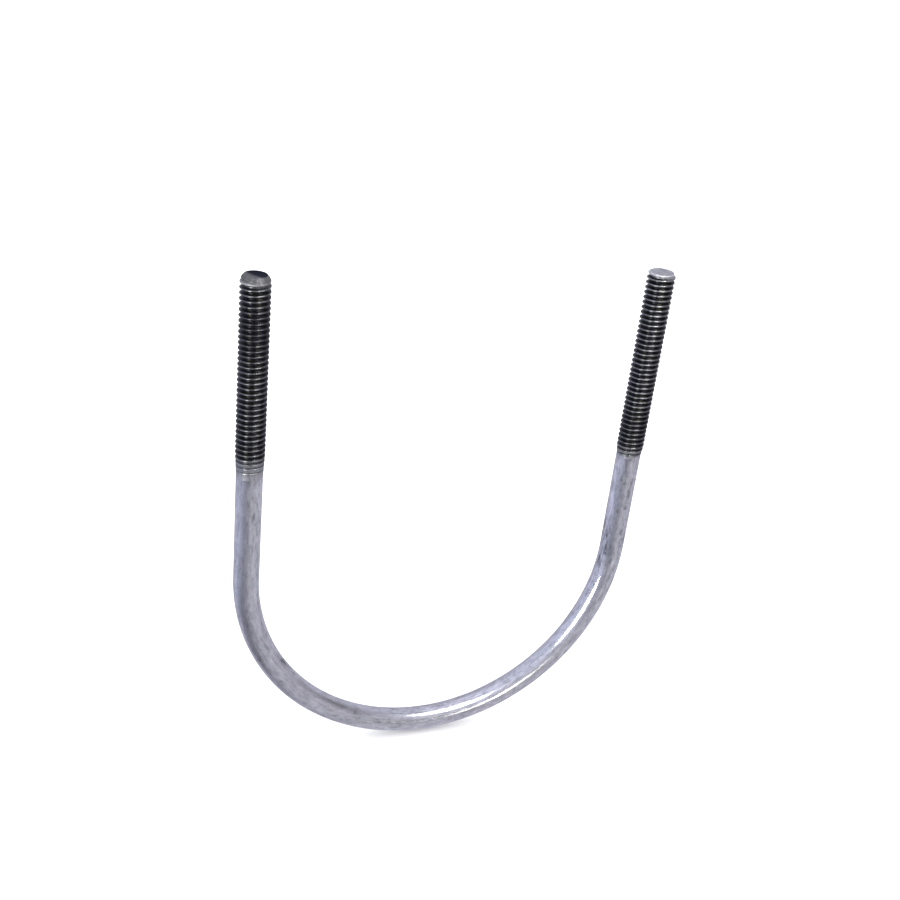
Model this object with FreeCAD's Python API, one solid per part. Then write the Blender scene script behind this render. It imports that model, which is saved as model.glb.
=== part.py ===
import FreeCAD, Part

import math
import os

# Bare U-bolt: one round steel bar bent to a half circle, with two straight parallel legs and a
# right-hand rolled screw thread on the end of each leg.
#
# Frame: millimetres. The origin is the centre of the bend, which is the axis of the pipe or tube
# the bolt goes round. +X runs from the left leg to the right leg, Y is the pipe's axis, and +Z
# points along the legs to the threaded ends.

ORIGIN = FreeCAD.Vector(0, 0, 0)
Y_AXIS = FreeCAD.Vector(0, 1, 0)
Z_AXIS = FreeCAD.Vector(0, 0, 1)

# ---------------------------------------------------------------- bar
inside_width = 104.8        # clear width between the legs (4-1/8 in), takes a 101.6 mm (4 in) tube
inside_height = 136.5       # tip plane to the inner bottom of the bend (5-3/8 in nominal)
# a bar bent in one stroke comes out with legs a little unequal: added to the nominal height
leg_extra = {"left": 0.35, "right": -0.60}
shank_d = 7.1               # close to the thread's pitch diameter, as for rolling

shank_r = shank_d / 2.0
bend_r = inside_width / 2.0 + shank_r             # bend radius of the bar's centreline
# bend centre to tip plane
leg_length = {side: inside_height - inside_width / 2.0 + extra for side, extra in leg_extra.items()}

# ---------------------------------------------------------------- thread section
major_d = 7.9               # 5/16-18 UNC, class 2A
pitch = 25.4 / 18.0
root_d = 6.24
crest_flat = pitch / 8.0
flank_slope = math.tan(math.radians(30.0))        # axial run per unit of depth
cutter_overshoot = 0.07                           # cutter stands this far past the crest

major_r = major_d / 2.0
root_r = root_d / 2.0
# half the groove's width along the axis, at three depths
half_width_crest = (pitch - crest_flat) / 2.0
half_width_floor = half_width_crest - (major_r - root_r) * flank_slope
half_width_outer = half_width_crest + cutter_overshoot * flank_slope

# ---------------------------------------------------------------- leg ends
# each leg is chamfered and rolled on its own, so the two ends differ a little
end_face_r = {"left": 3.00, "right": 3.32}        # flat of the chamfered tip
chamfer_length = {"left": 2.00, "right": 1.10}    # tip plane to full thread diameter
cup_depth = {"left": 0.30, "right": 0.15}         # hollow that rolling leaves in the end of the bar
# middle point of the rounded chamfer: (share of its radial width, share of its length)
chamfer_middle = (0.72, 0.46)
# points of the cup's profile, inward: (share of the end face radius, share of the cup depth)
cup_profile = [(0.82, 0.35), (0.45, 0.86)]

# ---------------------------------------------------------------- thread run
# height above the bend centre of one groove, where the groove faces the direction groove_face
groove_face = {"left": 255.0, "right": 238.9}     # degrees about +Z from +X
groove_z = {"left": 37.05, "right": 30.50}
full_thread_z = {"left": 36.90, "right": 33.05}   # height above the bend centre where full depth ends
# below that the groove's floor climbs out of the bar: (turns down, radius of the floor)
fade_floor = {
    "left": [(0.0, root_r), (0.9, 3.36), (2.0, 3.43), (3.2, 3.48), (4.2, 3.70)],
    "right": [(0.0, root_r), (0.8, 3.32), (1.8, 3.45), (2.15, 3.68)],
}
# and the ridges sink to the size of the bar: (turns down, radius)
fade_ridge = {
    "left": [(-0.2, major_r), (0.6, 3.87), (2.0, 3.73), (3.6, 3.61), (4.7, shank_r)],
    "right": [(-0.2, major_r), (0.4, 3.92), (1.3, 3.75), (2.2, 3.58), (2.6, shank_r)],
}
# the left groove also starts shallow at the tip: where it reaches full depth, and how it gets there
# (turns up, radius of the floor); the right one runs straight out through the chamfer
start_z = {"left": 82.80}
start_floor = {"left": [(0.0, root_r), (0.35, 3.42), (0.60, 3.56), (0.85, 3.74)]}

# ---------------------------------------------------------------- fading cutters
turns_per_cutter = 1.5      # longest stretch cut in one piece, before the overlap
overlap_turns = 14.0 / 360.0
path_points_per_turn = 24
inset_step = 0.015          # each cutter's section is this much smaller than the last


def polar(radius, angle, z):
    return FreeCAD.Vector(radius * math.cos(angle), radius * math.sin(angle), z)


def groove_section(angle, z, floor_r, inset=0.0):
    """Closed trapezoid of the groove in the plane through the leg's axis at this angle."""
    inner_r = floor_r + inset
    outer_r = major_r + cutter_overshoot + (floor_r - root_r)
    points = [
        polar(inner_r, angle, z - half_width_floor + inset),
        polar(outer_r, angle, z - half_width_outer + inset),
        polar(outer_r, angle, z + half_width_outer - inset),
        polar(inner_r, angle, z + half_width_floor - inset),
    ]
    return Part.makePolygon(points + [points[0]])


def radius_at(table, turns):
    """Radius from a (turns, radius) table by a smooth cubic that never passes its neighbours."""
    xs = [row[0] for row in table]
    ys = [row[1] for row in table]
    if turns <= xs[0]:
        return ys[0]
    if turns >= xs[-1]:
        return ys[-1]
    slopes = [(ys[i + 1] - ys[i]) / (xs[i + 1] - xs[i]) for i in range(len(xs) - 1)]
    # harmonic mean of the slopes on both sides, level at the first point
    inner = [2 * a * b / (a + b) if a * b > 0 else 0.0 for a, b in zip(slopes[:-1], slopes[1:])]
    tangents = [0.0] + inner + [slopes[-1]]
    i = max(j for j in range(len(xs) - 1) if xs[j] <= turns)
    span = xs[i + 1] - xs[i]
    u = (turns - xs[i]) / span
    return (ys[i] * (2 * u ** 3 - 3 * u ** 2 + 1)
            + tangents[i] * span * (u ** 3 - 2 * u ** 2 + u)
            + ys[i + 1] * (3 * u ** 2 - 2 * u ** 3)
            + tangents[i + 1] * span * (u ** 3 - u ** 2))


def leg_blank(side):
    """Leg before threading, on the Z axis: shank, swell up to the thread, chamfered, cupped tip."""
    tip_z = leg_length[side]
    face_r = end_face_r[side]
    chamfer = chamfer_length[side]
    cup = cup_depth[side]
    width_share, length_share = chamfer_middle

    profile = [(0.0, 0.0), (shank_r, 0.0)]
    profile += [(r, full_thread_z[side] - turns * pitch) for turns, r in reversed(fade_ridge[side])]
    profile += [
        (major_r, tip_z - chamfer),
        (face_r + width_share * (major_r - face_r), tip_z - length_share * chamfer),
        (face_r, tip_z),
    ]
    profile += [(r_share * face_r, tip_z - share * cup) for r_share, share in cup_profile]
    profile.append((0.0, tip_z - cup))
    wire = Part.makePolygon([FreeCAD.Vector(r, 0, z) for r, z in profile + [profile[0]]])
    return Part.Face(wire).revolve(ORIGIN, Z_AXIS, 360).Solids[0]


def fading_cutters(start_angle, base_z, direction, floor_table):
    """Groove that carries on from the full-depth one, down (direction -1) or up (direction +1),
    while its floor climbs out of the bar. Each length starts a little way inside the one before
    it and is a hair smaller, so their walls never coincide."""
    def place(turns):
        angle = start_angle + direction * turns * 2 * math.pi
        return angle, base_z + direction * turns * pitch

    total_turns = floor_table[-1][0]
    count = int(math.ceil(total_turns / turns_per_cutter))
    cutters = []
    for j in range(count):
        first = total_turns * j / count - overlap_turns
        last = total_turns * (j + 1) / count
        steps = int(path_points_per_turn * (last - first))
        points = []
        for i in range(steps + 1):
            turns = first + (last - first) * i / float(steps)
            points.append(polar(radius_at(floor_table, turns), *place(turns)))
        path = Part.BSplineCurve()
        path.interpolate(points)
        pipe = Part.BRepOffsetAPI.MakePipeShell(Part.Wire([path.toShape()]))
        pipe.setBiNormalMode(Z_AXIS)
        section = groove_section(*place(first), radius_at(floor_table, first),
                                 inset=inset_step * (j + 1))
        pipe.add(section, False, False)
        pipe.build()
        pipe.makeSolid()
        cutters.append(pipe.shape())
    return cutters


def groove_cutters(side):
    """The full-depth helical groove and the fading pieces at its ends."""
    def angle_at(z):
        return math.radians(groove_face[side]) + (z - groove_z[side]) / pitch * 2.0 * math.pi

    low_z = full_thread_z[side]
    high_z = start_z.get(side, leg_length[side] + pitch)
    low_angle = angle_at(low_z)
    helix = Part.makeLongHelix(pitch, high_z - low_z, root_r, 0, False)
    helix.rotate(ORIGIN, Z_AXIS, math.degrees(low_angle))
    helix.translate(FreeCAD.Vector(0, 0, low_z))
    cutters = [helix.makePipeShell([groove_section(low_angle, low_z, root_r)], True, True)]
    cutters += fading_cutters(low_angle, low_z, -1, fade_floor[side])
    if side in start_z:
        cutters += fading_cutters(angle_at(high_z), high_z, 1, start_floor[side])
    return cutters


def largest_solid(shape):
    return max(shape.Solids, key=lambda solid: solid.Volume)


def threaded_leg(side):
    leg = leg_blank(side)
    for cutter in groove_cutters(side):
        leg = leg.cut(cutter)
    leg = largest_solid(leg)
    leg.translate(FreeCAD.Vector(-bend_r if side == "left" else bend_r, 0, 0))
    return leg


def bend():
    """Half torus below the origin that joins the two legs."""
    circle = Part.makeCircle(shank_r, FreeCAD.Vector(bend_r, 0, 0), Z_AXIS)
    return Part.Face(Part.Wire([circle])).revolve(ORIGIN, Y_AXIS, 180)


def u_bolt():
    return largest_solid(bend().fuse(threaded_leg("left")).fuse(threaded_leg("right")))


os.makedirs("parts", exist_ok=True)
u_bolt().exportStep("parts/u_bolt.step")
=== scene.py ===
import math

import bpy
import numpy as np
from mathutils import Matrix, Vector


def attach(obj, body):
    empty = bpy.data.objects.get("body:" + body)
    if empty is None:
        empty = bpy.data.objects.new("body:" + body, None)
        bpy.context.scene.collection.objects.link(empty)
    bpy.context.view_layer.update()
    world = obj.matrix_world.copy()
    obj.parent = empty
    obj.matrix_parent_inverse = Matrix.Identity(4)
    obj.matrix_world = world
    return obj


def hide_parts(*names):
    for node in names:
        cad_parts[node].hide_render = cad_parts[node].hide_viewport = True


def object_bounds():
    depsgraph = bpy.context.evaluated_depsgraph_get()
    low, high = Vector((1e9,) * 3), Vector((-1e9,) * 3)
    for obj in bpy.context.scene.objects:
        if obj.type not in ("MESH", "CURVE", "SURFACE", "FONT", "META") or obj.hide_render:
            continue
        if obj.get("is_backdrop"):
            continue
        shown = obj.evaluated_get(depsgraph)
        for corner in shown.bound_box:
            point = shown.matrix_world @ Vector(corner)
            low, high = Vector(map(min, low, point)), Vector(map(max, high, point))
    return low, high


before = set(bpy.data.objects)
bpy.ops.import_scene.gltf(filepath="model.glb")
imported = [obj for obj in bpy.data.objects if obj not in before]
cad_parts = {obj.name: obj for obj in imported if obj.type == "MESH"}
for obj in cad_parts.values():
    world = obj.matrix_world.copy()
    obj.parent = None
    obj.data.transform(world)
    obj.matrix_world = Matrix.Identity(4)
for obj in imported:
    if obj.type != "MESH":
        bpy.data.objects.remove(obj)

cad_lo, cad_hi = (list(v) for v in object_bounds())

# ------------------------------------------------------------------ sizes, mm
BEND_R = 55.95          # bend radius of the bar's centreline
SHANK_R = 3.55
MAJOR_R = 3.95
ROOT_R = 3.12
PITCH = 25.4 / 18.0
HALF_MAJOR = (PITCH - PITCH / 8.0) / 2.0
HALF_ROOT = HALF_MAJOR - (MAJOR_R - ROOT_R) * math.tan(math.radians(30.0))
SIDES = {
    # fade tables: (turns below full depth, radius) for the groove's floor and for the ridges
    "left": dict(
        x=-1.0, tip_film=1.0, top=84.45, face_r=3.00, cham=2.00, cup=0.30, z_full=36.90, ang=math.radians(255.0), gz=37.05,
        floor=[(0.0, 3.12), (0.9, 3.37), (2.0, 3.45), (3.2, 3.52), (4.2, 3.72)],
        ridge=[(-0.2, 3.95), (0.6, 3.87), (2.0, 3.73), (3.6, 3.61), (4.7, 3.55)],
        z_start=82.80, start=[(0.0, 3.12), (0.35, 3.42), (0.60, 3.56), (0.85, 3.74)],
        # film: share of the dark thread colour, whose grooves are painted near black as shade
        film_and_shade=[(-0.4, 1.0), (0.4, 0.96), (1.2, 0.88), (2.4, 0.76), (3.4, 0.60), (4.3, 0.34), (5.5, 0.0)],
        film_and_shade_tip=[(81.7, 1.0), (82.3, 0.80), (84.45, 0.70)],
        # crest: worn ridge brightness by height, also painting how strongly the ridges glint along the leg
        crest=[(34.0, 0.34), (38.0, 0.24), (44.0, 0.26), (62.0, 0.24), (67.0, 0.15), (74.0, 0.13), (78.0, 0.24), (84.0, 0.34)]),
    "right": dict(
        x=1.0, tip_film=0.25, top=83.50, face_r=3.32, cham=1.10, cup=0.15, z_full=33.05, ang=math.radians(238.9), gz=30.50,
        floor=[(0.0, 3.12), (0.8, 3.33), (1.8, 3.47), (2.15, 3.70)],
        ridge=[(-0.2, 3.95), (0.4, 3.92), (1.3, 3.75), (2.2, 3.58), (2.6, 3.55)],
        z_start=200.0, start=[(0.0, 3.12), (1.0, 3.12)],
        film_and_shade=[(-1.6, 1.0), (-0.4, 0.99), (0.7, 0.97), (1.9, 0.95), (2.3, 0.86), (2.7, 0.30), (3.3, 0.0)],
        film_and_shade_tip=[(82.3, 1.0), (82.95, 0.25), (83.5, 0.15)],
        # crest: worn ridge brightness by height, also painting how strongly the ridges glint along the leg
        crest=[(30.0, 0.42), (33.0, 0.28), (41.0, 0.20), (46.0, 0.34), (62.0, 0.36), (76.0, 0.40), (83.5, 0.50)]),
}
AROUND = 72
ARC = math.pi * BEND_R
# the bar is measured along its centreline from the left tip
L_LEFT, L_RIGHT = SIDES["left"]["top"], SIDES["right"]["top"]
TOTAL = L_LEFT + ARC + L_RIGHT

# ------------------------------------------------------------------ smooth noise on the bar, seeded
def lattice_noise(p, seed):
    """Value noise in -1..1 at points p (n, 3), smooth, repeatable."""
    i = np.floor(p).astype(np.int64)
    f = p - i
    f = f * f * (3 - 2 * f)
    out = np.zeros(len(p))
    for dx in (0, 1):
        for dy in (0, 1):
            for dz in (0, 1):
                h = (i[:, 0] + dx) * 73856093 ^ (i[:, 1] + dy) * 19349663 ^ (i[:, 2] + dz) * 83492791 ^ seed * 2654435761
                h = (h ^ (h >> 13)) * 1274126177
                h = (h ^ (h >> 16)) & 0xFFFFFF
                v = h / float(0xFFFFFF) * 2 - 1
                w = (f[:, 0] if dx else 1 - f[:, 0]) * (f[:, 1] if dy else 1 - f[:, 1]) * (f[:, 2] if dz else 1 - f[:, 2])
                out += v * w
    return out


def smin(a, b, k):
    h = np.clip(0.5 + 0.5 * (b - a) / k, 0, 1)
    return b * (1 - h) + a * h - k * h * (1 - h)


def smax(a, b, k):
    return -smin(-a, -b, k)


def along(table, t):
    """Monotone cubic through a (t, value) table."""
    xs = np.array([p[0] for p in table], float)
    ys = np.array([p[1] for p in table], float)
    h = np.diff(xs)
    sl = np.diff(ys) / h
    tang = np.zeros(len(xs))
    tang[-1] = sl[-1]
    for i in range(1, len(xs) - 1):
        a, b = sl[i - 1], sl[i]
        tang[i] = 2 * a * b / (a + b) if a * b > 0 else 0.0
    t = np.clip(np.asarray(t, float), xs[0], xs[-1])
    i = np.clip(np.searchsorted(xs, t, side="right") - 1, 0, len(xs) - 2)
    u = (t - xs[i]) / h[i]
    return (ys[i] * (2 * u ** 3 - 3 * u ** 2 + 1) + tang[i] * h[i] * (u ** 3 - 2 * u ** 2 + u)
            + ys[i + 1] * (3 * u ** 2 - 2 * u ** 3) + tang[i + 1] * h[i] * (u ** 3 - u ** 2))


# ------------------------------------------------------------------ the bar's radius
def leg_radius(side, z, phi):
    """Radius of a leg at height z and angle phi about +Z, then the thread's share, how deep into the
    groove it is, how much of the dark thread colour it carries (a dark film, with painted shade in the grooves), how
    bright the ridges are (wear, with painted glint strength along the leg) and the dull tip."""
    d = SIDES[side]
    top, cham = d["top"], d["cham"]
    down = (d["z_full"] - z) / PITCH
    env = along(d["ridge"], down)
    # chamfer, softly rounded into the thread
    tip = np.interp(z, [top - cham, top - 0.72 * cham, top - 0.46 * cham, top - 0.20 * cham, top],
                    [MAJOR_R, MAJOR_R - 0.07 * (MAJOR_R - d["face_r"]), MAJOR_R - 0.28 * (MAJOR_R - d["face_r"]),
                     MAJOR_R - 0.62 * (MAJOR_R - d["face_r"]), d["face_r"]])
    env = np.minimum(env, tip)
    # rolled crests aren't perfectly even
    pts = np.stack([np.cos(phi) * 1.3 + 5, np.sin(phi) * 1.3 + 5, z * 1.05 + 40 * d["x"]], 1)
    thread = np.clip(1 - (down + 0.2) / 4.5, 0, 1)
    env = env - thread * 0.020 * (1 + lattice_noise(pts, 11)) * np.clip((top - z) / 0.3, 0, 1)
    turn = (z - d["gz"]) / PITCH - (phi - d["ang"]) / (2 * math.pi)
    k = np.round(turn)
    w = np.abs(turn - k) * PITCH
    z_groove = d["gz"] + PITCH * (k + (phi - d["ang"]) / (2 * math.pi))
    g_down = (d["z_full"] - z_groove) / PITCH
    floor = along(d["floor"], g_down)
    floor = np.where(g_down > d["floor"][-1][0], MAJOR_R + 0.2, floor)
    g_up = (z_groove - d["z_start"]) / PITCH
    floor = np.maximum(floor, np.where(g_up > d["start"][-1][0], MAJOR_R + 0.2, along(d["start"], g_up)))
    groove = floor + np.maximum(w - HALF_ROOT, 0) * math.tan(math.radians(60.0))
    groove = smax(groove, floor + 0.012, 0.10)
    r = smin(env, groove, 0.075)
    cut = np.clip((env - r) / np.maximum(env - floor, 0.14), 0, 1)
    mix_down = 0.6 * g_down + 0.4 * down
    film_and_shade = np.minimum(along(d["film_and_shade"], mix_down), along(d["film_and_shade_tip"], z))
    tip = np.clip((z - (top - cham) + 0.10) / 0.35, 0, 1) * d["tip_film"]
    return r, thread, cut, film_and_shade, along(d["crest"], z), tip


# nicks and dents: station from the left tip, angle, length, width, depth (mm, degrees, mm, mm, mm)
NICKS = [
    (116.8, -153.0, 4.8, 0.60, 0.060), (121.8, -150.0, 1.9, 0.50, 0.050), (103.8, -137.0, 1.7, 0.50, 0.045),
    (67.8, -119.0, 3.0, 0.50, 0.035), (183.0, -119.0, 1.4, 0.45, 0.045), (221.8, -155.0, 1.5, 0.50, 0.045),
    (225.3, -94.0, 2.2, 0.50, 0.030), (260.3, -147.0, 3.4, 0.50, 0.040), (282.3, -121.0, 3.4, 0.50, 0.035),
    (252.3, -122.0, 2.4, 0.60, 0.025), (254.8, -118.0, 2.0, 0.60, 0.025),
    (240.5, 35.0, 5.0, 0.7, 0.045), (140.0, 70.0, 3.0, 0.8, 0.040), (75.0, 40.0, 4.0, 0.6, 0.035),
    (200.0, 120.0, 6.0, 0.7, 0.040), (172.0, 20.0, 2.4, 0.6, 0.040), (268.0, 80.0, 3.0, 0.6, 0.040),
    (128.0, 150.0, 4.0, 0.7, 0.035), (232.0, 160.0, 2.2, 0.6, 0.035), (90.0, 100.0, 2.2, 0.7, 0.030),
]
# tone: station, angle, length, width, darker (+) or lighter (-); real stains and marks, and among them painted dark
# reflections
STAINS_AND_PAINTED_REFLECTIONS = [
    (54.5, -87, 1.2, 0.60, -0.60), (67.5, -119, 3.0, 0.55, 0.50), (72.0, -69, 1.5, 1.20, -0.20),
    (82.5, -66, 2.0, 0.80, 0.35), (79.0, -102, 7.0, 1.40, -0.25), (97.0, -95, 2.4, 0.80, 0.30),
    (103.5, -137, 1.6, 0.65, 0.90), (116.5, -152, 4.8, 0.85, 1.45), (121.5, -149, 2.0, 0.75, 1.25),
    (118.5, -91, 2.2, 0.90, -0.35), (110.0, -120, 9.0, 0.60, -0.20), (120.0, -124, 8.0, 0.60, -0.20),
    (134.0, -80, 1.8, 0.70, -0.30), (143.0, -119, 2.2, 0.60, -0.25), (153.5, -129, 3.0, 0.45, -0.40),
    (162.0, -130, 4.5, 0.45, -0.30), (160.0, -112, 12.0, 0.55, 0.30), (182.3, -107, 1.6, 0.55, -0.60),
    (182.7, -119, 1.4, 0.50, 0.60), (221.5, -155, 1.4, 0.55, 0.65), (225.0, -94, 2.2, 0.55, 0.45),
    (226.0, -111, 1.8, 0.50, -0.40), (240.0, -88, 2.0, 0.70, -0.30), (244.0, -113, 2.0, 0.60, -0.35),
    (252.0, -122, 2.4, 0.60, 0.50), (254.5, -118, 2.0, 0.60, 0.50), (256.8, -99, 1.4, 1.20, -0.40),
    (259.0, -110, 1.6, 0.70, -0.30), (260.0, -147, 3.4, 0.55, 0.65), (264.0, -145, 3.8, 0.55, -0.50),
    (282.0, -121, 3.4, 0.50, 0.60), (278.5, -139, 2.0, 0.50, -0.40), (281.0, -158, 2.5, 0.55, -0.35),
    # the next five lines are long, wide dark bands on the front of the bar: painted dark reflections of the
    # surroundings
    (272.0, -121, 2.6, 0.80, 0.30), (58.0, -75, 9.0, 1.60, 0.25), (66.0, -78, 5.0, 1.20, 0.25),
    (100.0, -49, 16.0, 0.60, 0.35), (108.0, -54, 14.0, 0.70, 0.30), (146.0, -135, 14.0, 1.20, 0.22),
    (268.0, -124, 10.0, 0.70, 0.25), (286.0, -121, 5.0, 0.80, 0.25), (60.0, -91, 8.0, 2.60, 0.34),
    (281.0, -101, 9.0, 2.60, 0.36), (267.0, -103, 8.0, 2.20, 0.18), (161.0, -111, 8.0, 1.80, 0.26),
    (254.0, -158, 7.0, 3.20, 0.28),
    (240.5, 35, 5.0, 0.7, 0.6), (140.0, 70, 3.0, 0.8, 0.5), (75.0, 40, 4.0, 0.6, 0.5), (200.0, 120, 6.0, 0.7, 0.5),
    (172.0, 20, 2.4, 0.6, 0.5), (268.0, 80, 3.0, 0.6, 0.5), (128.0, 150, 4.0, 0.7, 0.5), (232.0, 160, 2.2, 0.6, 0.5),
    (90.0, 100, 2.2, 0.7, 0.4), (150.0, 0, 9.0, 0.9, 0.3), (215.0, 60, 12.0, 0.8, -0.3), (105.0, 10, 9.0, 1.0, -0.3),
    (250.0, 110, 10.0, 0.9, 0.3), (185.0, 170, 14.0, 0.8, 0.3), (65.0, 120, 8.0, 1.0, 0.3), (275.0, 20, 8.0, 0.9, -0.3),
]


def spots(table, s, psi):
    """Sum of soft spots: each row is a station, an angle, a length, a width and an amount."""
    out = np.zeros(s.shape)
    for ms, mp, ml, mw, md in table:
        near = np.abs(s - ms) < 2.2 * ml
        if near.any():
            dp = (psi[near] - math.radians(mp) + math.pi) % (2 * math.pi) - math.pi
            e = ((s[near] - ms) / (ml / 2)) ** 2 + (dp * SHANK_R / (mw / 2)) ** 2
            out[near] += md * np.exp(-0.9 * e)
    return out


def shank_offset(s, psi):
    """Small unevenness of drawn and bent bar: long shallow waves, die lines, a few nicks."""
    c, q = np.cos(psi), np.sin(psi)
    out = 0.018 * lattice_noise(np.stack([c * 0.9 + 9, q * 0.9 + 9, s * 0.055], 1), 3)
    out = out + 0.007 * lattice_noise(np.stack([c * 1.7 + 9, q * 1.7 + 9, s * 0.21], 1), 4)
    out = out + 0.005 * lattice_noise(np.stack([c * 6.5 + 30, q * 6.5 + 30, s * 0.030], 1), 5)
    out = out + 0.003 * lattice_noise(np.stack([c * 9.0 + 30, q * 9.0 + 30, s * 0.35], 1), 6)
    return out - 0.5 * spots(NICKS, s, psi)


def surface(s, psi):
    """Point of the bar's surface at station s (mm from the left tip) and angle psi, and the masks."""
    s = np.asarray(s, float)
    psi = np.asarray(psi, float)
    r = np.full(s.shape, SHANK_R)
    thr, cut, film_and_shade, crest, tip = (np.zeros(s.shape) for _ in range(5))
    left, right = s < L_LEFT, s > L_LEFT + ARC
    mid = ~(left | right)
    a = np.pi + (s - L_LEFT) / BEND_R
    cx = np.where(left, -BEND_R, np.where(right, BEND_R, BEND_R * np.cos(a)))
    cz = np.where(left, L_LEFT - s, np.where(right, s - L_LEFT - ARC, BEND_R * np.sin(a)))
    ex = np.where(left, -1.0, np.where(right, 1.0, np.cos(a)))
    ez = np.where(mid, np.sin(a), 0.0)
    for side, m in (("left", left), ("right", right)):
        if m.any():
            phi = np.pi - psi[m] if side == "left" else psi[m]
            phi = np.mod(phi, 2 * np.pi)
            r[m], thr[m], cut[m], film_and_shade[m], crest[m], tip[m] = leg_radius(side, cz[m], phi)
    # the bar goes very slightly oval where it's bent
    bent = np.clip(np.minimum(s - L_LEFT + 6, L_LEFT + ARC + 6 - s) / 14.0, 0, 1)
    bent = bent * bent * (3 - 2 * bent)
    r = r * (1 + bent * 0.006 * (-np.cos(2 * psi)))
    r = r + shank_offset(s, psi) * (1 - 0.85 * thr)
    x = cx + r * np.cos(psi) * ex
    y = r * np.sin(psi)
    z = cz + r * np.cos(psi) * ez
    return np.stack([x, y, z], -1), r, cut, film_and_shade, crest, tip


# ------------------------------------------------------------------ mesh
def stations():
    step = PITCH / 12.0
    legs = {}
    for side in ("left", "right"):
        d = SIDES[side]
        low = d["z_full"] - d["ridge"][-1][0] * PITCH - 0.6
        turn = list(np.arange(low, d["top"] - d["cham"] * 0.5, step))
        tip = list(np.linspace(turn[-1], d["top"], 9))[1:]
        shank = list(np.linspace(0, low, int(low / 0.7), endpoint=False))
        legs[side] = shank + turn + tip
    left = [L_LEFT - z for z in reversed(legs["left"])]
    bend = [L_LEFT + v for v in np.linspace(0, ARC, 252)][1:-1]
    right = [L_LEFT + ARC + z for z in legs["right"]]
    out = left + bend + right
    out[0], out[-1] = 0.0, TOTAL
    return np.array(out)


def centreline(s):
    left, right = s < L_LEFT, s > L_LEFT + ARC
    a = np.pi + (s - L_LEFT) / BEND_R
    x = np.where(left, -BEND_R, np.where(right, BEND_R, BEND_R * np.cos(a)))
    z = np.where(left, L_LEFT - s, np.where(right, s - L_LEFT - ARC, BEND_R * np.sin(a)))
    return np.stack([x, np.zeros_like(x), z], -1)


def end_relief(side, x, y):
    """Height of an end face against its rim: the shallow cup left by rolling, with a sheared step."""
    d = SIDES[side]
    q = np.clip(np.hypot(x, y) / d["face_r"], 0, 1)
    edge = np.clip((1 - q) * 5, 0, 1)
    a = 0.63 if side == "left" else -0.4
    line = x * math.cos(a) + y * math.sin(a)
    return (-d["cup"] * (1 - q ** 2) * 0.85 + 0.045 * (np.tanh(line * 2.0) - 1)) * edge


def end_normal(side, x, y):
    h = 0.02
    gx = (end_relief(side, x + h, y) - end_relief(side, x - h, y)) / (2 * h)
    gy = (end_relief(side, x, y + h) - end_relief(side, x, y - h)) / (2 * h)
    n = np.stack([-gx, -gy, np.ones_like(gx)], -1)
    return n / np.linalg.norm(n, axis=-1)[:, None]


def end_painted_shade_and_mottle(side, x, y):
    """Painted shade on the end faces: most of the right-hand back half of the left end is painted dark where it mirrors
    dark surroundings; only a faint random mottle on the right end.
    """
    if side == "left":
        line = x * math.cos(0.63) + y * math.sin(0.63)
        return 1.9 / (1 + np.exp(-(line + 0.25) * 3.2))
    return 0.25 * lattice_noise(np.stack([x * 0.8 + 7, y * 0.8 + 7, 0 * x + 3], 1), 17)


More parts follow.
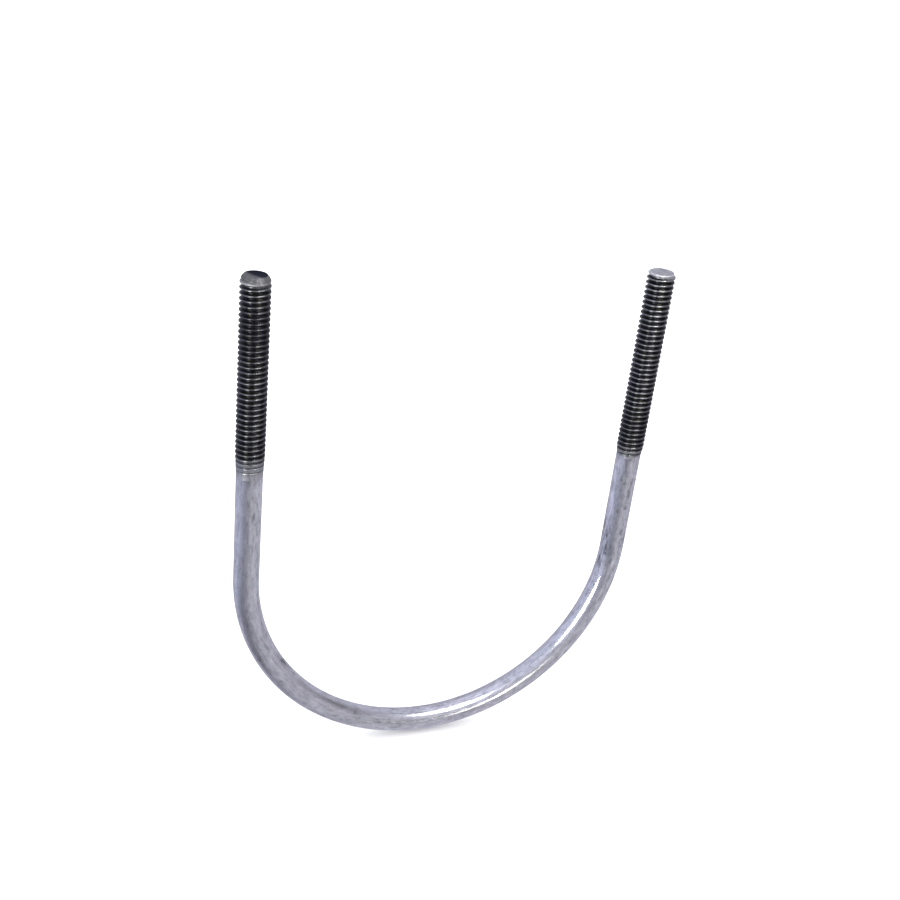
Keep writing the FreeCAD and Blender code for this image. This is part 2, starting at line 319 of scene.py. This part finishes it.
def build_rod():
    S = stations()
    n, m = len(S), AROUND
    psi = np.linspace(-np.pi, np.pi, m, endpoint=False)
    SS, PP = np.meshgrid(S, psi, indexing="ij")
    s, p = SS.ravel(), PP.ravel()
    eps = 1e-6
    s_in = np.clip(s, eps, TOTAL - eps)
    co, r, cut, film_and_shade, crest, tip = surface(s_in, p)
    co[s < eps, 2] = L_LEFT
    co[s > TOTAL - eps, 2] = L_RIGHT
    # normals from fine differences
    ds, dp = 0.012, 0.006
    a0 = surface(np.clip(s_in - ds, eps, TOTAL - eps), p)[0]
    a1 = surface(np.clip(s_in + ds, eps, TOTAL - eps), p)[0]
    b0 = surface(s_in, p - dp)[0]
    b1 = surface(s_in, p + dp)[0]
    nrm = np.cross(b1 - b0, a1 - a0)
    nrm /= np.linalg.norm(nrm, axis=1)[:, None]
    flip = (nrm * (co - centreline(s_in))).sum(1) < 0
    nrm[flip] *= -1

    verts, normals = [co], [nrm]
    tube = [np.stack([r * np.cos(p), r * np.sin(p), s], 1)]
    masks = {"bar_cut": [cut], "bar_film_and_shade": [film_and_shade], "bar_crest": [crest], "bar_stain_and_shade": [spots(STAINS_AND_PAINTED_REFLECTIONS, s, p)],
             "bar_end": [np.zeros(n * m)], "bar_tip": [tip]}

    def add(side, end, x, y):
        d = SIDES[side]
        pos = np.stack([x + d["x"] * BEND_R, y, d["top"] + end_relief(side, x, y)], 1)
        verts.append(pos)
        normals.append(end_normal(side, x, y))
        tube.append(np.stack([x, y, np.full(len(x), -5.0 if end == 0 else TOTAL + 5.0)], 1))
        for key, val in (("bar_cut", 0.0), ("bar_film_and_shade", 0.0), ("bar_crest", 0.5), ("bar_end", 1.0),
                         ("bar_tip", d["tip_film"])):
            masks[key].append(np.full(len(x), val))
        masks["bar_stain_and_shade"].append(end_painted_shade_and_mottle(side, x, y))

    idx = np.arange(n * m).reshape(n, m)
    nxt = np.roll(idx, -1, axis=1)
    poly = [tuple(f) for f in np.stack([idx[:-1], nxt[:-1], nxt[1:], idx[1:]], -1).reshape(-1, 4).tolist()]
    n_body = len(poly)
    base = n * m
    for end, side in ((0, "left"), (1, "right")):
        ring = idx[0] if end == 0 else idx[-1]
        cx = SIDES[side]["x"] * BEND_R
        rim = co[ring]
        rings = [ring]
        for q in (0.95, 0.86, 0.74, 0.60, 0.45, 0.30, 0.15):
            add(side, end, (rim[:, 0] - cx) * q, rim[:, 1] * q)
            rings.append(np.arange(base, base + m))
            base += m
        add(side, end, np.zeros(1), np.zeros(1))
        apex = base
        base += 1
        for a, b in zip(rings[:-1], rings[1:]):
            an, bn = np.roll(a, -1), np.roll(b, -1)
            q = np.stack([a, b, bn, an], -1) if end == 0 else np.stack([a, an, bn, b], -1)
            poly += [tuple(f) for f in q.tolist()]
        a = rings[-1]
        an = np.roll(a, -1)
        tri = np.stack([a, np.full(m, apex), an], -1) if end == 0 else np.stack([a, an, np.full(m, apex)], -1)
        poly += [tuple(f) for f in tri.tolist()]
    V, N, T = np.concatenate(verts), np.concatenate(normals), np.concatenate(tube)

    me = bpy.data.meshes.new("u_bolt_bar")
    me.from_pydata([tuple(v) for v in V * 0.001], [], poly)
    me.update()
    for name, parts in masks.items():
        at = me.attributes.new(name, "FLOAT", "POINT")
        at.data.foreach_set("value", np.concatenate(parts).astype(np.float32))
    at = me.attributes.new("bar_pos", "FLOAT_VECTOR", "POINT")
    at.data.foreach_set("vector", T.astype(np.float32).ravel())

    # texture coordinates: round the bar and along it, seam at the back; end faces in a corner
    loops = np.zeros(len(me.loops), np.int64)
    me.loops.foreach_get("vertex_index", loops)
    starts = np.zeros(len(me.polygons), np.int64)
    totals = np.zeros(len(me.polygons), np.int64)
    me.polygons.foreach_get("loop_start", starts)
    me.polygons.foreach_get("loop_total", totals)
    pid = np.repeat(np.arange(len(starts)), totals)
    u = (np.arctan2(T[:, 1], T[:, 0]) / (2 * math.pi) + 0.5)[loops]
    umax = np.zeros(len(starts))
    np.maximum.at(umax, pid, u)
    u[(umax[pid] > 0.9) & (u < 0.1)] += 1.0
    uvs = np.stack([u * 0.9, T[loops, 2] / TOTAL * 0.9], 1)
    cap = pid >= n_body
    uvs[cap] = np.stack([0.95 + T[loops, 0] / 90.0, 0.95 + T[loops, 1] / 90.0], 1)[cap]
    uv = me.uv_layers.new(name="UVMap")
    uv.data.foreach_set("uv", uvs.astype(np.float32).ravel())

    # crisp rim: at the rim the end faces keep their own normals
    me.polygons.foreach_set("use_smooth", np.ones(len(me.polygons), bool))
    ln = N[loops].copy()
    for side, sel in (("left", cap & (loops < m)), ("right", cap & (loops >= (n - 1) * m) & (loops < n * m))):
        cx = SIDES[side]["x"] * BEND_R
        ln[sel] = end_normal(side, V[loops[sel], 0] - cx, V[loops[sel], 1])
    ln /= np.linalg.norm(ln, axis=1)[:, None]
    me.normals_split_custom_set([tuple(v) for v in ln.tolist()])
    ob = bpy.data.objects.new("u_bolt_bar", me)
    bpy.context.scene.collection.objects.link(ob)
    return ob


# ------------------------------------------------------------------ material
def new_material(name):
    mat = bpy.data.materials.new(name)
    mat.use_nodes = True
    nt = mat.node_tree
    nt.nodes.clear()
    return mat, nt


class Nodes:
    """Short calls for building a node tree."""

    def __init__(self, nt):
        self.nt = nt

    def new(self, kind, **kw):
        n = self.nt.nodes.new(kind)
        for k, v in kw.items():
            setattr(n, k, v)
        return n

    def link(self, a, b):
        self.nt.links.new(a, b)

    def put(self, socket, value):
        if isinstance(value, (int, float, tuple, list)):
            socket.default_value = value
        else:
            self.link(value, socket)

    def math(self, op, a, b=0.0, c=0.0, clamp=False):
        n = self.new("ShaderNodeMath", operation=op, use_clamp=clamp)
        self.put(n.inputs[0], a); self.put(n.inputs[1], b); self.put(n.inputs[2], c)
        return n.outputs[0]

    def vmath(self, op, a, b=(0, 0, 0), scale=None):
        n = self.new("ShaderNodeVectorMath", operation=op)
        self.put(n.inputs[0], a)
        if op not in ("SCALE", "NORMALIZE", "LENGTH"):
            self.put(n.inputs[1], b)
        if scale is not None:
            self.put(n.inputs["Scale"], scale)
        return n.outputs["Value"] if op in ("DOT_PRODUCT", "LENGTH") else n.outputs["Vector"]

    def noise(self, vec, scale, detail=3.0, rough=0.55, dist=0.0):
        n = self.new("ShaderNodeTexNoise", noise_dimensions="3D")
        self.put(n.inputs["Vector"], vec)
        n.inputs["Scale"].default_value = scale
        n.inputs["Detail"].default_value = detail
        n.inputs["Roughness"].default_value = rough
        n.inputs["Distortion"].default_value = dist
        return n.outputs["Fac"]

    def ramp(self, fac, stops, interp="LINEAR"):
        n = self.new("ShaderNodeValToRGB")
        n.color_ramp.interpolation = interp
        el = n.color_ramp.elements
        while len(el) < len(stops):
            el.new(0.5)
        for e, (p, c) in zip(el, stops):
            e.position = p
            e.color = (c, c, c, 1) if isinstance(c, (int, float)) else (*c, 1)
        self.put(n.inputs[0], fac)
        return n.outputs[0]

    def range(self, v, a, b, c, d, smooth=False):
        n = self.new("ShaderNodeMapRange")
        if smooth:
            n.interpolation_type = "SMOOTHSTEP"
        self.put(n.inputs[0], v)
        for i, q in enumerate((a, b, c, d)):
            self.put(n.inputs[1 + i], q)
        return n.outputs[0]

    def mix(self, fac, a, b, blend="MIX"):
        n = self.new("ShaderNodeMix", data_type="RGBA", blend_type=blend)
        self.put(n.inputs[0], fac)
        for sock, v in ((n.inputs[6], a), (n.inputs[7], b)):
            if isinstance(v, tuple):
                sock.default_value = (*v[:3], 1)
            else:
                self.link(v, sock)
        return n.outputs[2]


def steel_material():
    mat, nt = new_material("drawn_steel_rolled_thread")
    N = Nodes(nt)
    out = N.new("ShaderNodeOutputMaterial")
    bsdf = N.new("ShaderNodeBsdfPrincipled")
    N.link(bsdf.outputs[0], out.inputs[0])
    pos = N.new("ShaderNodeAttribute", attribute_name="bar_pos").outputs["Vector"]
    cut = N.new("ShaderNodeAttribute", attribute_name="bar_cut").outputs["Fac"]
    film_and_shade = N.new("ShaderNodeAttribute", attribute_name="bar_film_and_shade").outputs["Fac"]
    worn_and_glint = N.new("ShaderNodeAttribute", attribute_name="bar_crest").outputs["Fac"]
    stain_and_shade = N.new("ShaderNodeAttribute", attribute_name="bar_stain_and_shade").outputs["Fac"]
    end = N.new("ShaderNodeAttribute", attribute_name="bar_end").outputs["Fac"]
    tip = N.new("ShaderNodeAttribute", attribute_name="bar_tip").outputs["Fac"]

    def scaled(x, y, z):
        return N.vmath("MULTIPLY", pos, (x, y, z))

    # drawn streaks: fine round the bar, long along it
    streak_a = N.noise(scaled(1.5, 1.5, 0.050), 1.0, 4.0, 0.6, 0.3)
    streak_b = N.noise(scaled(4.5, 4.5, 0.14), 1.0, 3.0, 0.6)
    along_bar = N.new("ShaderNodeSeparateXYZ")
    N.link(pos, along_bar.inputs[0])
    diagonal = []
    for rate, size in ((0.035, 2.6), (-0.022, 3.4)):
        turn = N.new("ShaderNodeVectorRotate", rotation_type="Z_AXIS")
        N.link(pos, turn.inputs["Vector"])
        N.link(N.math("MULTIPLY", along_bar.outputs[2], rate), turn.inputs["Angle"])
        diagonal.append(N.noise(N.vmath("MULTIPLY", turn.outputs[0], (size, size, 0.11)), 1.0, 3.0, 0.6))
    drift = N.math("MULTIPLY", N.math("ADD", diagonal[0], diagonal[1]), 0.5)
    blotch = N.noise(scaled(0.50, 0.50, 0.16), 1.0, 4.0, 0.6, 0.8)
    speck = N.noise(scaled(2.2, 2.2, 0.9), 1.0, 3.0, 0.55)
    mottle = N.noise(scaled(0.95, 0.95, 0.42), 1.0, 4.0, 0.62, 0.5)
    fine = N.noise(scaled(14.0, 14.0, 3.2), 1.0, 2.0, 0.5)

    tone = N.math("ADD", N.math("MULTIPLY", streak_a, 0.20), N.math("MULTIPLY", streak_b, 0.18))
    tone = N.math("ADD", tone, N.math("MULTIPLY", blotch, 0.26))
    tone = N.math("ADD", tone, N.math("MULTIPLY", speck, 0.14))
    tone = N.math("ADD", tone, N.math("MULTIPLY", drift, 0.22))
    tone = N.math("ADD", N.math("MULTIPLY", N.math("SUBTRACT", tone, 0.5), 1.9), 0.5)
    patch = N.range(along_bar.outputs[2], 235.0, 262.0, 0.80, 1.15, True)
    tone = N.math("ADD", tone, N.math("MULTIPLY", N.math("SUBTRACT", mottle, 0.5), patch))
    wide = N.range(along_bar.outputs[2], 235.0, 262.0, 0.10, 0.75, True)
    tone = N.math("ADD", tone, N.math("MULTIPLY", N.math("SUBTRACT", blotch, 0.5), wide))
    # stains and marks darken the tone, and so do the painted dark reflection bands
    tone = N.math("SUBTRACT", tone, N.math("MULTIPLY", stain_and_shade, 0.36))
    shank = N.ramp(tone, [(0.08, (0.14, 0.14, 0.15)), (0.34, (0.46, 0.46, 0.485)), (0.50, (0.595, 0.595, 0.62)), (0.66, (0.70, 0.695, 0.725)), (0.92, (0.90, 0.89, 0.92))])

    # rolled thread: a dark film with painted shade in the grooves, near black; ridges worn bright, with painted glint
    # strength along each leg
    blot = N.noise(scaled(1.1, 1.1, 1.1), 1.0, 3.0, 0.6)
    hue = N.noise(scaled(0.5, 0.5, 0.25), 1.0, 2.0, 0.5)
    on_ridge = N.range(cut, 0.0, 0.42, 1.0, 0.0, True)
    # ridge brightness: wear, and painted glint strength from the crest tables
    wear_and_glint = N.math("MULTIPLY", worn_and_glint, N.range(N.noise(scaled(1.3, 1.3, 0.8), 1.0, 2.0, 0.5), 0.30, 0.68, 0.55, 1.35))
    ridge_col = N.mix(wear_and_glint, (0.008, 0.008, 0.010), (0.62, 0.62, 0.63))
    # groove colours: painted shade, near black
    groove_a = N.mix(N.range(hue, 0.40, 0.60, 0.0, 1.0), (0.012, 0.012, 0.018), (0.018, 0.018, 0.013))
    groove_col = N.mix(N.range(blot, 0.40, 0.70, 0.0, 1.0), groove_a, (0.036, 0.036, 0.039))
    thread = N.mix(on_ridge, groove_col, ridge_col)
    col = N.mix(film_and_shade, shank, thread)

    # sheared and rolled tip: dull, with what's left of the scale, and a painted highlight low on the left chamfer
    dull = N.mix(N.range(speck, 0.35, 0.65, 0.0, 1.0), (0.044, 0.044, 0.049), (0.088, 0.087, 0.093))
    # lighter from 1.0 to 1.9 mm below the left tip on: along the base of the left chamfer a painted highlight band, the
    # top of the chamfer stays dark
    dull = N.mix(N.range(along_bar.outputs[2], 1.0, 1.9, 0.0, 0.85, True), dull, (0.26, 0.26, 0.275))
    face = N.mix(N.range(blotch, 0.35, 0.65, 0.0, 1.0), (0.27, 0.27, 0.30), (0.42, 0.42, 0.45))
    # painted shade: the back half of the left end face goes near black through the same mask
    face = N.mix(N.math("MULTIPLY", stain_and_shade, 0.55, clamp=True), face, (0.012, 0.013, 0.024))
    dull = N.mix(N.math("MULTIPLY", N.math("MULTIPLY", stain_and_shade, end), 0.55, clamp=True), dull, (0.004, 0.005, 0.012))
    col = N.mix(end, col, face)
    col = N.mix(tip, col, dull)
    N.link(col, bsdf.inputs["Base Color"])
    N.link(N.range(tip, 0.0, 1.0, 1.0, 0.50), bsdf.inputs["Metallic"])
    N.link(N.math("MULTIPLY", N.range(N.math("MULTIPLY", stain_and_shade, end), 0.2, 1.4, 0.5, 0.0), 1.0), bsdf.inputs["Specular IOR Level"])

    rough = N.range(tone, 0.30, 0.70, 0.20, 0.11)
    rough = N.math("ADD", rough, N.range(stain_and_shade, 0.12, 0.5, 0.0, 0.16))
    rough = N.math("ADD", rough, N.math("MULTIPLY", N.range(fine, 0.3, 0.7, 0.0, 1.0), 0.04))
    # rolling leaves fine rings on the flanks, so they spread light along the leg and not round it
    rough_t = N.range(cut, 0.0, 0.3, 0.32, 0.42)
    uv_dir = N.new("ShaderNodeTangent", direction_type="UV_MAP", uv_map="UVMap")
    N.link(uv_dir.outputs[0], bsdf.inputs["Tangent"])
    bsdf.inputs["Anisotropic Rotation"].default_value = 0.25
    N.link(N.math("MULTIPLY", N.range(film_and_shade, 0.88, 0.99, 0.0, 0.85), N.math("SUBTRACT", 1.0, tip)), bsdf.inputs["Anisotropic"])
    rmix = N.new("ShaderNodeMix", data_type="FLOAT")
    N.link(film_and_shade, rmix.inputs[0])
    N.link(rough, rmix.inputs[2])
    N.link(rough_t, rmix.inputs[3])
    floor = N.math("MAXIMUM", N.range(tip, 0.0, 0.25, 0.0, 0.48, True), N.range(film_and_shade, 0.0, 0.40, 0.0, 0.38, True))
    N.link(N.math("MAXIMUM", rmix.outputs[0], floor), bsdf.inputs["Roughness"])

    bump_h = N.math("ADD", N.math("MULTIPLY", streak_b, 0.6), N.math("MULTIPLY", fine, 0.2))
    bump_h = N.math("ADD", bump_h, N.math("MULTIPLY", speck, 0.6))
    bump = N.new("ShaderNodeBump")
    bump.inputs["Strength"].default_value = 0.30
    bump.inputs["Distance"].default_value = 0.00008
    N.link(bump_h, bump.inputs["Height"])
    N.link(bump.outputs[0], bsdf.inputs["Normal"])
    return mat


# ------------------------------------------------------------------ object
rod = build_rod()
rod.data.materials.append(steel_material())
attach(rod, "root")
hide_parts("u_bolt")

# the hidden CAD node gets the same finish, in case it's shown somewhere
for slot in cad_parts["u_bolt"].material_slots:
    slot.material = rod.data.materials[0]

# ------------------------------------------------------------------ stage
def backdrop():
    me = bpy.data.meshes.new("floor")
    ring, n = [], 96
    verts, faces = [(0, 0, 0)], []
    radii = [0.05, 0.1, 0.2, 0.4, 0.8, 1.6, 3.2]
    for r in radii:
        for i in range(n):
            a = 2 * math.pi * i / n
            verts.append((r * math.cos(a), r * math.sin(a), 0))
    for i in range(n):
        faces.append((0, 1 + i, 1 + (i + 1) % n))
    for k in range(len(radii) - 1):
        a, b = 1 + k * n, 1 + (k + 1) * n
        for i in range(n):
            faces.append((a + i, b + i, b + (i + 1) % n, a + (i + 1) % n))
    me.from_pydata(verts, [], faces)
    ob = bpy.data.objects.new("floor", me)
    bpy.context.scene.collection.objects.link(ob)
    ob.location = (0, 0, cad_lo[2] - 0.0004)
    mat, nt = new_material("pale_floor")
    N = Nodes(nt)
    out = N.new("ShaderNodeOutputMaterial")
    diff = N.new("ShaderNodeBsdfDiffuse")
    geo = N.new("ShaderNodeNewGeometry")
    tint = N.noise(geo.outputs["Position"], 3.0, 2.0)
    N.link(N.mix(tint, (0.93, 0.93, 0.935), (0.95, 0.95, 0.95)), diff.inputs[0])
    N.link(diff.outputs[0], out.inputs[0])
    me.materials.append(mat)
    ob.visible_glossy = False
    ob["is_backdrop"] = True
    return ob


backdrop()


# ------------------------------------------------------------------ light
def direction(az, el):
    a, e = math.radians(az), math.radians(el)
    return Vector((math.cos(a) * math.cos(e), math.sin(a) * math.cos(e), math.sin(e)))


# soft lobes of light (+) and shade (-) round the object: azimuth, elevation, tightness, colour
BASE = (0.42, 0.41, 0.50)
LOBES = [
    (0, 90, 2.0, (0.42, 0.45, 0.54)),
    (180, 0, 2.0, (0.29, 0.34, 0.48)),
    (0, 0, 2.0, (0.11, 0.105, 0.115)),
    (-90, 0, 2.0, (0.09, 0.09, 0.04)),
    (0, -90, 2.0, (0.29, 0.29, 0.31)),
    (-118, -27, 8.0, (-0.27, -0.27, -0.29)),
    (-158, -45, 8.0, (-0.32, -0.33, -0.41)),
    (160, -70, 6.0, (-0.28, -0.28, -0.31)),
    (-14, 26, 10.0, (-0.36, -0.37, -0.45)),
]


def make_world():
    w = bpy.data.worlds.new("studio")
    bpy.context.scene.world = w
    w.use_nodes = True
    nt = w.node_tree
    nt.nodes.clear()
    N = Nodes(nt)
    out = N.new("ShaderNodeOutputWorld")
    tc = N.new("ShaderNodeTexCoord").outputs["Generated"]
    total = None
    base = N.new("ShaderNodeRGB")
    base.outputs[0].default_value = (*BASE, 1)
    total = base.outputs[0]
    for az, el, k, c in LOBES:
        d = direction(az, el)
        dot = N.vmath("DOT_PRODUCT", tc, tuple(d))
        e = N.math("EXPONENT", N.math("MULTIPLY", N.math("SUBTRACT", dot, 1.0), k))
        v = N.vmath("SCALE", tuple(c), scale=e)
        total = N.vmath("ADD", total, v)
    total = N.vmath("MAXIMUM", total, (0.01, 0.01, 0.01))
    lp = N.new("ShaderNodeLightPath")
    glossy = N.new("ShaderNodeBackground")
    N.link(total, glossy.inputs[0])
    plain = N.new("ShaderNodeBackground")
    plain.inputs[0].default_value = (1.0, 1.0, 1.0, 1)
    plain.inputs[1].default_value = 1.90
    mix = N.new("ShaderNodeMixShader")
    N.link(lp.outputs["Is Glossy Ray"], mix.inputs[0])
    N.link(plain.outputs[0], mix.inputs[1])
    N.link(glossy.outputs[0], mix.inputs[2])
    N.link(mix.outputs[0], out.inputs[0])


make_world()


def softbox(name, pos, aim, sx, sy, radiance, colour, seen_by_bounces=True):
    """A soft lamp that lights the metal only, so the floor stays even. Its light isn't passed on from one
    side of the bend to the other, which would only show as specks."""
    li = bpy.data.lights.new(name, "AREA")
    li.shape = "ELLIPSE"
    li.size, li.size_y = sx, sy
    li.energy = radiance * math.pi * math.pi * sx * sy / 4.0
    li.color = colour
    li.cycles.max_bounces = 0
    li.cycles.use_multiple_importance_sampling = seen_by_bounces
    ob = bpy.data.objects.new(name, li)
    bpy.context.scene.collection.objects.link(ob)
    ob.location = pos
    ob.rotation_euler = (Vector(aim) - Vector(pos)).to_track_quat("-Z", "Y").to_euler()
    ob.visible_camera = False
    ob.light_linking.receiver_collection = metal_only
    return ob


metal_only = bpy.data.collections.new("metal_only")
metal_only.objects.link(rod)
softbox("lamp_top", (0.038, -0.182, 0.260), (0.0, 0.0, -0.02), 0.180, 0.100, 18.0, (1.0, 1.0, 0.98), seen_by_bounces=False)
softbox("lamp_left", (-0.469, -0.324, 0.028), (0.03, 0.0, -0.04), 0.130, 0.320, 24.0, (1.0, 1.0, 0.97))
softbox("lamp_front", (0.060, -0.620, -0.004), (0.02, 0.0, -0.04), 0.120, 0.070, 14.0, (1.0, 0.98, 0.90))

# ------------------------------------------------------------------ camera
CAM_ROWS = ((0.9191480466425938, -0.37551466344349455, 0.11897733352207557),
            (-0.1111036391094958, -0.5369163266903959, -0.8362875339917001),
            (0.37791910474297424, 0.7554532385741761, -0.5352266385355439))
CAM_POS = (-0.14558357, -0.33392298, 0.20383592)
CAM_F, CAM_CX, CAM_CY = 1454.703, 493.663, 645.925

cam = bpy.data.cameras.new("camera")
cam_ob = bpy.data.objects.new("camera", cam)
bpy.context.scene.collection.objects.link(cam_ob)
right, down, fwd = (Vector(v) for v in CAM_ROWS)
m = Matrix((right, -down, -fwd)).transposed().to_4x4()
m.translation = Vector(CAM_POS)
cam_ob.matrix_world = m
cam.sensor_fit = "HORIZONTAL"
cam.sensor_width = 36.0
cam.lens = CAM_F / 900.0 * 36.0
cam.clip_start, cam.clip_end = 0.01, 20.0
bpy.context.scene.camera = cam_ob
# the view's optical axis is off its centre, as in a cropped picture; only from this standpoint
for axis, value in (("shift_x", (450.0 - CAM_CX) / 900.0), ("shift_y", (CAM_CY - 450.0) / 900.0)):
    drv = cam.driver_add(axis).driver
    drv.type = "SCRIPTED"
    var = drv.variables.new()
    var.name = "z"
    var.type = "SINGLE_PROP"
    var.targets[0].id = cam_ob
    var.targets[0].data_path = "location[2]"
    drv.expression = "%.8f if abs(z - %.8f) < 0.0001 else 0.0" % (value, CAM_POS[2])

sc = bpy.context.scene
sc.view_settings.view_transform = "Standard"
sc.view_settings.look = "None"
sc.view_settings.exposure = 0.0
sc.view_settings.gamma = 1.0
